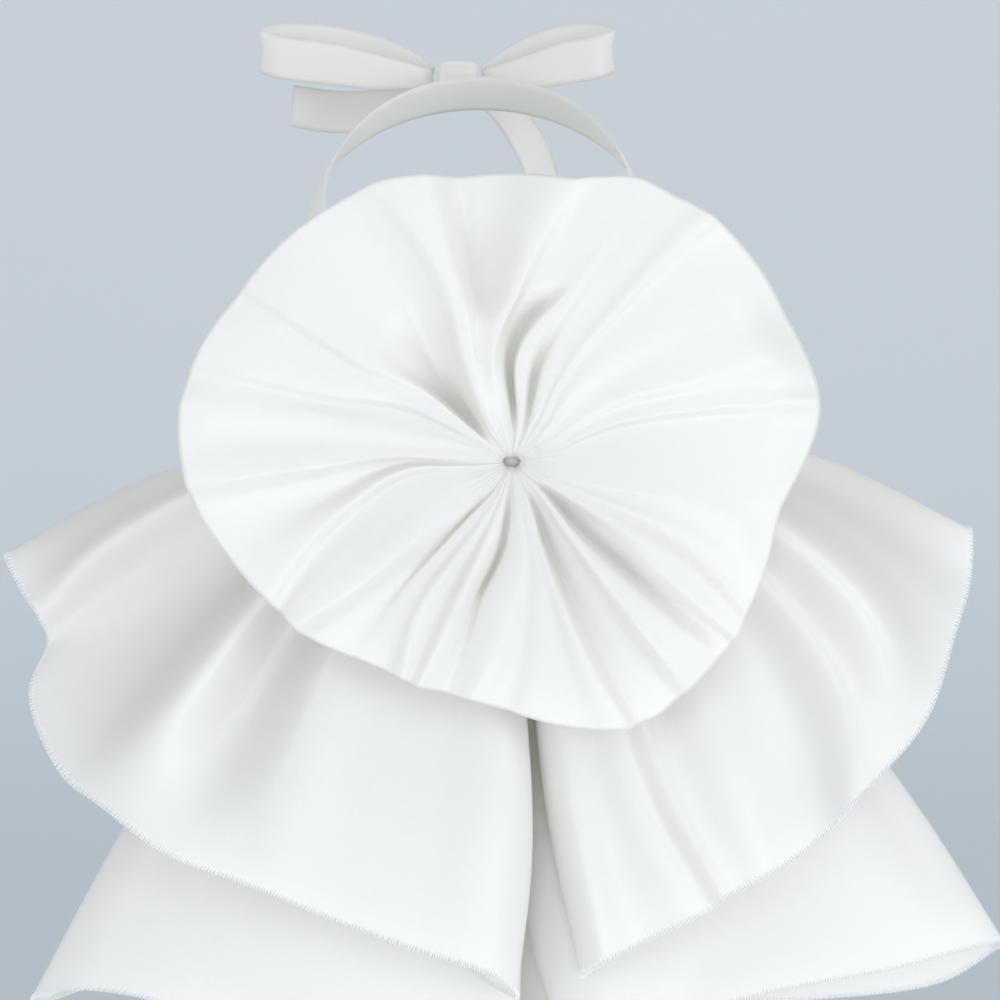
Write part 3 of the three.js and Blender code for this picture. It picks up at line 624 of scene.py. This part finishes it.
# %% Stem
STEM_RINGS = ((4, 0.1), (4.2, 3.2), (8.5, 5), (13.8, 7), (14.4, 9.3), (17.2, 10.3), (18.2, 8),
              (18.3, 0.1))
turns = np.linspace(0, 360, 112, endpoint=False)
stem_grid = np.stack([
    on_flower(turns, np.full(112, r) - min(r / 9, 1) * 0.9 * (1 + np.cos(np.radians(turns * 14))),
              np.full(112, -d))
    for d, r in STEM_RINGS
], 1)
stem_uv = np.stack([np.repeat(turns[:, None] * 0.0002, len(STEM_RINGS), 1),
                    np.repeat(np.arange(len(STEM_RINGS))[None] * 0.004, 112, 0)], -1)
stem = mesh_from("satin_flower_stem", stem_grid.reshape(-1, 3), grid_faces(112, len(STEM_RINGS)),
                 stem_uv.reshape(-1, 2), white_satin)


# %% [markdown]
# ## Strap
#
# The neck strap is a folded band of the same satin, one closed loop that rises to the nape.

# %% Strap
def swept(name, centre, across, out, section, closed, material, widen=None):
    """A bar with one section swept along frames, with uv along and around it."""
    widen = np.ones(len(centre)) if widen is None else widen
    section = np.array(section, float)
    grid = (centre[:, None] + across[:, None] * (section[:, 0] * widen[:, None])[..., None]
            + out[:, None] * section[:, 1][None, :, None])
    steps = np.r_[0, np.cumsum(np.linalg.norm(np.diff(centre, axis=0), axis=1))]
    uv = np.stack([np.repeat(steps[:, None], len(section), 1),
                   np.repeat(section[None, :, 0], len(centre), 0)], -1) * MM
    n, m = grid.shape[:2]
    i, j = np.meshgrid(np.arange(n if closed else n - 1), np.arange(m), indexing="ij")
    a, b = i * m + j, ((i + 1) % n) * m + j
    c, d = ((i + 1) % n) * m + (j + 1) % m, i * m + (j + 1) % m
    faces = np.stack([a, b, c, d], -1).reshape(-1, 4)
    if not closed:
        half = m // 2
        for start, turn in ((0, 1), ((n - 1) * m, -1)):
            k = np.arange(half - 1)
            cap = np.stack([start + k, start + k + 1, start + m - 2 - k, start + m - 1 - k], -1)
            faces = np.concatenate([faces, cap[:, ::turn]])
    whole = (steps[-1] + np.linalg.norm(centre[0] - centre[-1])) * MM if closed else None
    return mesh_from(name, grid.reshape(-1, 3), faces, uv.reshape(-1, 2), material, whole)


def strip_section(width, thick, steps=8):
    """A flat strip with soft edges: there along one face and back along the other."""
    x = np.linspace(-1, 1, steps)
    belly = thick / 2 * np.sqrt(np.clip(1 - np.abs(x) ** 8, 0.04, 1))
    there = np.stack([x * width / 2, -belly], 1)
    return np.concatenate([there, there[::-1] * [1, -1]])


STRAP_RADII = (61.5, 61, 0)
STRAP_CENTRE = (-3.5, 0, 0)
STRAP_RISE = 32
STRAP_WIDE, STRAP_THICK = 17.6, 1.4
STRAP_LEAN = math.radians(30)

turn = np.linspace(0, 2 * np.pi, 192, endpoint=False)
away = np.stack([np.cos(turn), np.sin(turn), 0 * turn], 1)
up = np.array([0, 0, 1])
strap = swept("satin_neck_strap",
              away * STRAP_RADII + np.sin(turn)[:, None] * STRAP_RISE * up + STRAP_CENTRE,
              -away * math.sin(STRAP_LEAN) + up * math.cos(STRAP_LEAN),
              away * math.cos(STRAP_LEAN) + up * math.sin(STRAP_LEAN),
              strip_section(STRAP_WIDE, STRAP_THICK), True, white_satin)


# %% [markdown]
# ## Bow
#
# The bow at the nape is narrow satin ribbon: two loops, two tails and a knot with pinched creases.
# Each run of ribbon has its places in a table: x, y and z in millimetres, and the share of its full
# width there.

# %% Bow
LEFT_LOOP = ((-22, 71, 36, 0.45), (-40, 80, 42, 0.8), (-64, 83, 46, 1), (-82, 80, 47, 1),
             (-88, 74, 46, 1), (-82, 68, 45, 1), (-62, 65, 43, 1), (-40, 65, 39, 0.8))
RIGHT_LOOP = ((-2, 71, 36, 0.45), (14, 80, 42, 0.8), (30, 83, 46, 1), (43, 80, 47, 1),
              (48, 74, 46, 1), (43, 68, 45, 1), (30, 66, 43, 1), (14, 66, 39, 0.8))
LEFT_TAIL = ((-21, 76, 28, 0.5), (-38, 81, 22, 0.85), (-58, 80, 20, 1), (-77, 73, 24, 1))
RIGHT_TAIL = ((-3, 76, 28, 0.5), (8, 82, 18, 0.85), (18, 84, 2, 1), (24, 82, -18, 1))
RIBBON_WIDE, RIBBON_THICK = 16.6, 0.9
RIBBON_ACROSS = np.array([0, math.sin(math.radians(20)), math.cos(math.radians(20))])


def ribbon(name, places, closed):
    """A run of ribbon through the given places: x, y, z and share of its full width."""
    p = np.array(places, float)
    if closed:
        line = smooth_loop(p[:, None, :], 12)[:, 0]
    else:
        ends = np.concatenate([[2 * p[0] - p[1]], p, [2 * p[-1] - p[-2]]])
        line = smooth_loop(ends[:, None, :], 12)[12:12 * len(p) + 1, 0]
    centre, widen = line[:, :3], line[:, 3]
    along = (np.roll(centre, -1, 0) - np.roll(centre, 1, 0)) if closed else np.gradient(centre, axis=0)
    along /= np.linalg.norm(along, axis=1, keepdims=True)
    out = np.cross(along, RIBBON_ACROSS)
    out /= np.linalg.norm(out, axis=1, keepdims=True)
    return swept(name, centre, np.cross(out, along), out, strip_section(RIBBON_WIDE, RIBBON_THICK),
                 closed, ribbon_satin, widen)


loop_left = ribbon("ribbon_loop_left", LEFT_LOOP, True)
loop_right = ribbon("ribbon_loop_right", RIGHT_LOOP, True)
tail_left = ribbon("ribbon_tail_left", LEFT_TAIL, False)
tail_right = ribbon("ribbon_tail_right", RIGHT_TAIL, False)

KNOT_CENTRE = np.array([-12, 69.5, 35])
KNOT_HALF = (8, 6.3, 8.3)
KNOT_CREASES = 9
KNOT_POINTS = (64, 25)

x = np.linspace(-KNOT_HALF[0], KNOT_HALF[0], KNOT_POINTS[1])
grow = 0.5 + 0.5 * np.sqrt(np.clip(1 - (x / 8.4) ** 4, 0, 1))
turns = np.radians(np.linspace(0, 360, KNOT_POINTS[0], endpoint=False))
crease = 1 - 0.05 * (1 + np.cos(turns * KNOT_CREASES))[:, None] * (1 - (x / 9) ** 2)
knot_grid = KNOT_CENTRE + np.stack([0 * crease + x, KNOT_HALF[1] * grow * crease * np.cos(turns)[:, None],
                                    KNOT_HALF[2] * grow * crease * np.sin(turns)[:, None]], -1)
knot_uv = np.stack([0 * crease + x, 0 * crease + 8 * turns[:, None]], -1) * MM
# the ends are drawn in to almost a point
knot_grid[:, [0, -1], 1:] = knot_grid[:, [0, -1], 1:] * 0.02 + KNOT_CENTRE[1:] * 0.98
knot = mesh_from("ribbon_knot", knot_grid.reshape(-1, 3), grid_faces(*KNOT_POINTS),
                 knot_uv.reshape(-1, 2), ribbon_satin)


# %% [markdown]
# ## Overlocked hems
#
# The hems aren't turned up. An overlocker wraps thread round the raw edge, a stitch every
# millimetre or so, about 3 mm deep. Each stitch is drawn as one short loop of thread over the edge.

# %% Overlock stitches
STITCH_PITCH = 1.15
STITCH_DEPTH = 2.6
THREAD_RADIUS = 0.17


def overlock(name, outer, inner):
    """Loops of thread round the hem: up the outer face, over the edge and up the inner face."""
    hem_out, hem_in = outer[:, -1], inner[:, -1]
    steps = np.linalg.norm(np.roll(hem_out, -1, 0) - hem_out, axis=1)
    where = np.r_[0, np.cumsum(steps)]
    count = int(where[-1] / STITCH_PITCH)
    rng = np.random.default_rng(len(name))
    at = (np.arange(count) + rng.uniform(-0.22, 0.22, count)) * where[-1] / count

    def pick(line, place):
        """Points of a closed line at places along the hem."""
        closed = np.concatenate([line, line[:1]])
        return np.stack([np.interp(place % where[-1], where, closed[:, k]) for k in range(3)], -1)

    edge_out, edge_in = pick(hem_out, at), pick(hem_in, at)
    reach = rng.uniform(0.75, 1.15, count)[:, None] * STITCH_DEPTH
    slant = at + rng.uniform(0.1, 0.7, count)
    row = outer.shape[1] - 5
    up_dir = pick(outer[:, row], slant) - pick(hem_out, slant)
    up_dir /= np.linalg.norm(up_dir, axis=1, keepdims=True)
    side = pick(hem_out, at + 0.3) - pick(hem_out, at - 0.3)
    side /= np.maximum(np.linalg.norm(side, axis=1, keepdims=True), 1e-9)
    face = edge_out - edge_in
    face /= np.linalg.norm(face, axis=1, keepdims=True)
    lift = THREAD_RADIUS * 0.9
    slide = rng.uniform(0.1, 0.6, count)[:, None] * side
    path = np.stack([
        edge_out + up_dir * reach + face * (lift - 0.25) + slide,
        edge_out + up_dir * reach * 0.5 + face * (lift + 0.06) + slide * 0.5,
        edge_out + up_dir * 0.1 + face * lift,
        (edge_out + edge_in) / 2 - up_dir * 0.35,
        edge_in + up_dir * 0.1 - face * lift,
        edge_in + up_dir * reach * 0.5 - face * (lift + 0.06) - slide * 0.5,
        edge_in + up_dir * reach - face * (lift - 0.25) - slide,
    ], 1)
    along = np.gradient(path, axis=1)
    along /= np.maximum(np.linalg.norm(along, axis=-1, keepdims=True), 1e-9)
    binormal = np.broadcast_to(side[:, None], along.shape)
    normal = np.cross(binormal, along)
    normal /= np.maximum(np.linalg.norm(normal, axis=-1, keepdims=True), 1e-9)
    sides = 5
    turn = np.arange(sides) * 2 * np.pi / sides
    taper = np.array([0.45, 1, 1, 1, 1, 1, 0.45])[None, :, None, None] * THREAD_RADIUS
    ring = (path[:, :, None] + taper * (binormal[:, :, None] * np.cos(turn)[:, None]
                                        + normal[:, :, None] * np.sin(turn)[:, None]))
    n, m = ring.shape[:2]
    s, i, j = np.meshgrid(np.arange(n), np.arange(m - 1), np.arange(sides), indexing="ij")
    base = s * m * sides
    a = base + i * sides + j
    b = base + i * sides + (j + 1) % sides
    faces = np.stack([a, b, b + sides, a + sides], -1).reshape(-1, 4)
    uv = np.zeros((n * m * sides, 2))
    return mesh_from(name, ring.reshape(-1, 3), faces, uv, overlock_thread)


hems = {}
for node, (piece, outer, inner) in flounces.items():
    hems[node] = overlock("overlock_" + node, outer, inner)
    print(node, "hem has", len(hems[node].data.polygons), "faces of thread")


# %% [markdown]
# ## Backdrop
#
# A pale blue-grey studio sweep stands behind. Painted shade in its colour darkens it a little towards the
# floor.

# %% Stage
# the sweep from the side, in metres: y and z along the floor, round the bend and up the wall
SWEEP = ((-4.0, -2.3), (2.7, -2.3), (3.0, -2.22), (3.15, -2.05), (3.2, -1.8), (3.2, 3.5))
SWEEP_HALF_WIDTH = 4.0
# the heights between which painted shade darkens the paper
PALE_ABOVE, DARK_BELOW = -1.1, -2.05


def stage_mesh():
    """The paper sweep behind the collar, with its material."""
    points = [(x, y, z) for y, z in SWEEP for x in (-SWEEP_HALF_WIDTH, SWEEP_HALF_WIDTH)]
    faces = [(2 * i, 2 * i + 1, 2 * i + 3, 2 * i + 2) for i in range(len(SWEEP) - 1)]
    mesh = bpy.data.meshes.new("studio_sweep")
    mesh.from_pydata(points, [], faces)
    mesh.polygons.foreach_set("use_smooth", [True] * len(faces))
    sweep = bpy.data.objects.new("studio_sweep", mesh)
    bpy.context.collection.objects.link(sweep)
    paper = bpy.data.materials.new("pale blue-grey paper")
    paper.use_nodes = True
    tree = paper.node_tree
    skin = tree.nodes["Principled BSDF"]
    where = add_node(tree, "ShaderNodeTexCoord")
    split = add_node(tree, "ShaderNodeSeparateXYZ", links={"Vector": (where, "Object")})
    low = add_node(tree, "ShaderNodeMapRange", {"interpolation_type": "SMOOTHSTEP"},
                   {"From Min": PALE_ABOVE, "From Max": DARK_BELOW}, {"Value": (split, "Z")})
    # painted shade: the paper's colour darkens towards the floor, where less light falls
    shade = add_node(tree, "ShaderNodeMix", {"data_type": "RGBA"},
                     {"A": linear("#E6EAEB"), "B": linear("#D1DADD")}, {"Factor": (low, "Result")})
    tree.links.new(shade.outputs["Result"], skin.inputs["Base Color"])
    skin.inputs["Roughness"].default_value = 0.9
    skin.inputs["Specular IOR Level"].default_value = 0.2
    mesh.materials.append(paper)
    return sweep


stage_mesh()
print("backdrop", SWEEP[-1][0], "m behind the neck")


# %% [markdown]
# ## Light
#
# A bright room gives most of the light, so white cloth stays white in its folds. Four large soft
# boxes add the shading: the right one is the strongest and draws the folds, the low one lifts the
# cloth that faces down.

# %% Soft boxes and the bright room
SOFT_WHITE = "#F4F8FF"
AIM = (0, -0.1, -0.12)


def soft_light(name, place, size, power):
    """A soft box at a place in metres, turned towards the collar; power in watts."""
    data = bpy.data.lights.new(name, "AREA")
    data.shape = "RECTANGLE"
    data.size, data.size_y = size
    data.energy = power
    data.color = linear(SOFT_WHITE)[:3]
    lamp = bpy.data.objects.new(name, data)
    lamp.location = place
    direction = np.array(AIM) - np.array(place)
    lamp.rotation_euler = (math.acos(-direction[2] / np.linalg.norm(direction)), 0,
                           math.atan2(-direction[0], direction[1]))
    bpy.context.collection.objects.link(lamp)
    return lamp


soft_light("right_softbox", (1.9, -1.3, 0.4), (1.2, 1.4), 17)
soft_light("left_softbox", (-1.8, -1.7, 0.6), (1.2, 1.2), 9.5)
soft_light("top_softbox", (0.2, -1.5, 2.0), (1.6, 1.2), 7)
soft_light("low_softbox", (0, -1.9, -0.7), (1.6, 0.8), 15.5)

world = bpy.data.worlds.new("bright room")
bpy.context.scene.world = world
world.use_nodes = True
world.node_tree.nodes["Background"].inputs["Color"].default_value = linear("#EFF3FA")
world.node_tree.nodes["Background"].inputs["Strength"].default_value = 0.74
bpy.context.scene.view_settings.view_transform = "Standard"


# %% [markdown]
# ## Which piece stands for which CAD solid
#
# Every visible piece rides on the one rigid body and replaces its plain CAD solid.

# %% Frame declarations
REPLACED = {"neck_strap": strap, "flower": flower, "flower_stem": stem, "bow_knot": knot,
            "bow_loop_left": loop_left, "bow_loop_right": loop_right, "bow_tail_left": tail_left,
            "bow_tail_right": tail_right, **{node: made[0] for node, made in flounces.items()}}
for node, piece in REPLACED.items():
    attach(piece, "root")
    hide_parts(node)
for piece in hems.values():
    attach(piece, "root")


# %% [markdown]
# ## The cloth, as it was cut
#
# Each piece of cloth has a flat size from before it was sewn: width, length and area in metres. The
# flounces are fans, cut as wide as their hems are long, so their area is less than their rectangle.
# The flower is a doubled circle. The strap and the bow are lengths of folded strip.

# %% Cloth cut sizes and areas
CUTS = {
    "flower": (0.24, 0.24, 0.045, "gathered", "flower_stem"),
    "upper_left_flounce": (0.60, 0.21, 0.075, "gathered", "flower_stem"),
    "upper_right_flounce": (0.52, 0.21, 0.064, "gathered", "flower_stem"),
    "lower_left_flounce": (0.43, 0.29, 0.072, "gathered", "flower_stem"),
    "lower_right_flounce": (0.47, 0.29, 0.076, "gathered", "flower_stem"),
    "neck_strap": (0.018, 0.40, None, "folded", "flower"),
    "bow_loop_left": (0.017, 0.13, None, "folded", "bow_knot"),
    "bow_loop_right": (0.017, 0.105, None, "folded", "bow_knot"),
    "bow_tail_left": (0.017, 0.06, None, "hung", "bow_knot"),
    "bow_tail_right": (0.017, 0.06, None, "hung", "bow_knot"),
}


def cloth_area(piece):
    """Half of a closed cloth piece's surface, in square metres: one of its two faces."""
    mesh = piece.data
    areas = np.zeros(len(mesh.polygons))
    mesh.polygons.foreach_get("area", areas)
    return areas.sum() / 2


for node, (width, length, area, held, holder) in CUTS.items():
    piece = REPLACED[node]
    print(f"{node}: {cloth_area(piece):.4f} m2 of cloth from {area or width * length:.4f} m2 flat")
